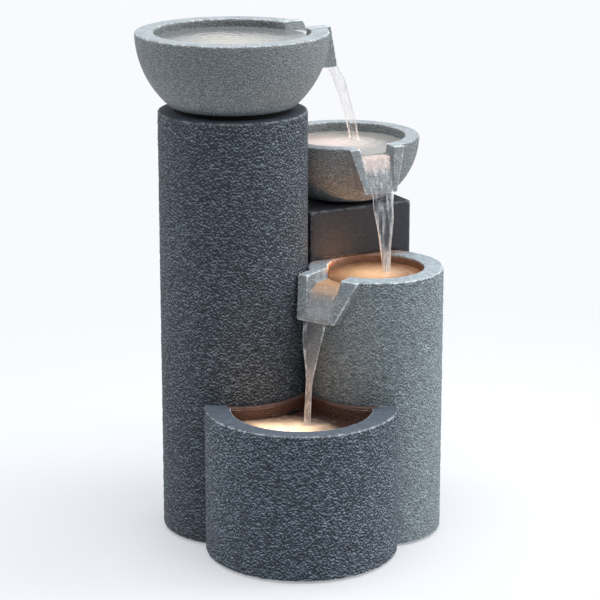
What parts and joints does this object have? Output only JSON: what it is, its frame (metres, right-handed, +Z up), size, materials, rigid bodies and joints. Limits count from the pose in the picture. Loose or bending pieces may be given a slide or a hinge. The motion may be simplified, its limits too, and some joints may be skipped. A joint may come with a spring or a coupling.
{
  "type": "tabletop water fountain",
  "caption": "Cascading tabletop fountain: spouted bowls on a tall column and a pedestal pour into a spouted basin column and a round front reservoir with a pump and lamps.",
  "frame": {"origin": "middle of the bounding box, on the table under the feet", "axes": "+Z up, the reservoir is toward -Y (front), the tall column toward -X and the basin column toward +X"},
  "size_m": [0.2436, 0.262, 0.407],
  "materials": {
    "dark_cast_stone": "chiselled cast stone, dark charcoal with pale dry-brushed high spots",
    "grey_cast_stone": "chiselled cast stone, mid grey with pale high spots",
    "navy_cast_stone": "smooth brushed cast stone, dark navy",
    "pale_cast_stone": "fine-grained cast stone, light grey",
    "black_rubber": "soft black rubber",
    "black_plastic": "moulded black plastic",
    "grey_plastic": "moulded grey plastic",
    "screw_steel": "stainless steel",
    "warm_lens": "clear diffusing lens, lit warm white",
    "white_board": "white lamp board",
    "ferrite": "dark ferrite",
    "shaft_ceramic": "polished white ceramic",
    "black_hose": "flexible black hose",
    "black_lead": "black cable jacket"
  },
  "bodies": {
    "fountain": {"reservoir_basin": "dark_cast_stone", "tall_column": "dark_cast_stone", "basin_column": "grey_cast_stone", "bowl_pedestal": "navy_cast_stone", "top_bowl": "pale_cast_stone", "middle_bowl": "pale_cast_stone", "top_bowl_seat": "black_rubber", "middle_bowl_seat": "black_rubber", "column_cover": "black_plastic", "basin_column_cover": "black_plastic", "pedestal_cover": "black_plastic", "cover_screws": "screw_steel", "rubber_feet": "black_rubber", "cord_gland": "black_plastic", "gland_nut": "black_plastic", "top_lamp_body": "black_plastic", "middle_lamp_body": "black_plastic", "basin_lamp_body": "black_plastic", "reservoir_lamp_body": "black_plastic", "top_lamp_lens": "warm_lens", "middle_lamp_lens": "warm_lens", "basin_lamp_lens": "warm_lens", "reservoir_lamp_lens": "warm_lens", "lamp_boards": "white_board", "lamp_gaskets": "black_rubber", "lamp_nuts": "black_plastic", "pump_housing": "black_plastic", "pump_gasket": "black_rubber", "pump_volute": "black_plastic", "volute_screws": "screw_steel", "pump_shaft": "shaft_ceramic", "shaft_bushes": "black_rubber", "suction_cups": "black_rubber", "inlet_fitting": "black_plastic", "inlet_gasket": "black_rubber", "inlet_nut": "black_plastic", "riser_hose": "black_hose", "hose_clips": "screw_steel", "pass_through_grommet": "black_rubber", "wiring_junction": "black_plastic", "top_lamp_lead": "black_lead", "middle_lamp_lead": "black_lead", "basin_lamp_lead": "black_lead", "reservoir_lamp_lead": "black_lead", "pump_lead": "black_lead", "port_bushes": "black_rubber"},
    "rotor": {"pump_impeller": "grey_plastic", "rotor_magnet": "ferrite"},
    "intake": {"intake_cover": "black_plastic"},
    "dial": {"flow_dial": "grey_plastic"},
    "service_door": {"door_panel": "dark_cast_stone", "door_gasket": "black_rubber", "door_screws": "screw_steel"}
  },
  "joints": [
    {"name": "rotor_spin", "type": "hinge", "parent": "fountain", "child": "rotor", "pos_m": [0.0272, -0.07418, 0.034], "axis": [1, 0, 0], "continuous": true},
    {"name": "intake_slide", "type": "slide", "parent": "fountain", "child": "intake", "axis": [-1, 0, 0], "range_m": [0, 0.018]},
    {"name": "dial_turn", "type": "hinge", "parent": "intake", "child": "dial", "pos_m": [0.0272, -0.07418, 0.034], "axis": [1, 0, 0], "range_deg": [0, 15]},
    {"name": "door_slide", "type": "slide", "parent": "fountain", "child": "service_door", "axis": [-0.5, 0.866, 0], "range_m": [0, 0.06]}
  ]
}
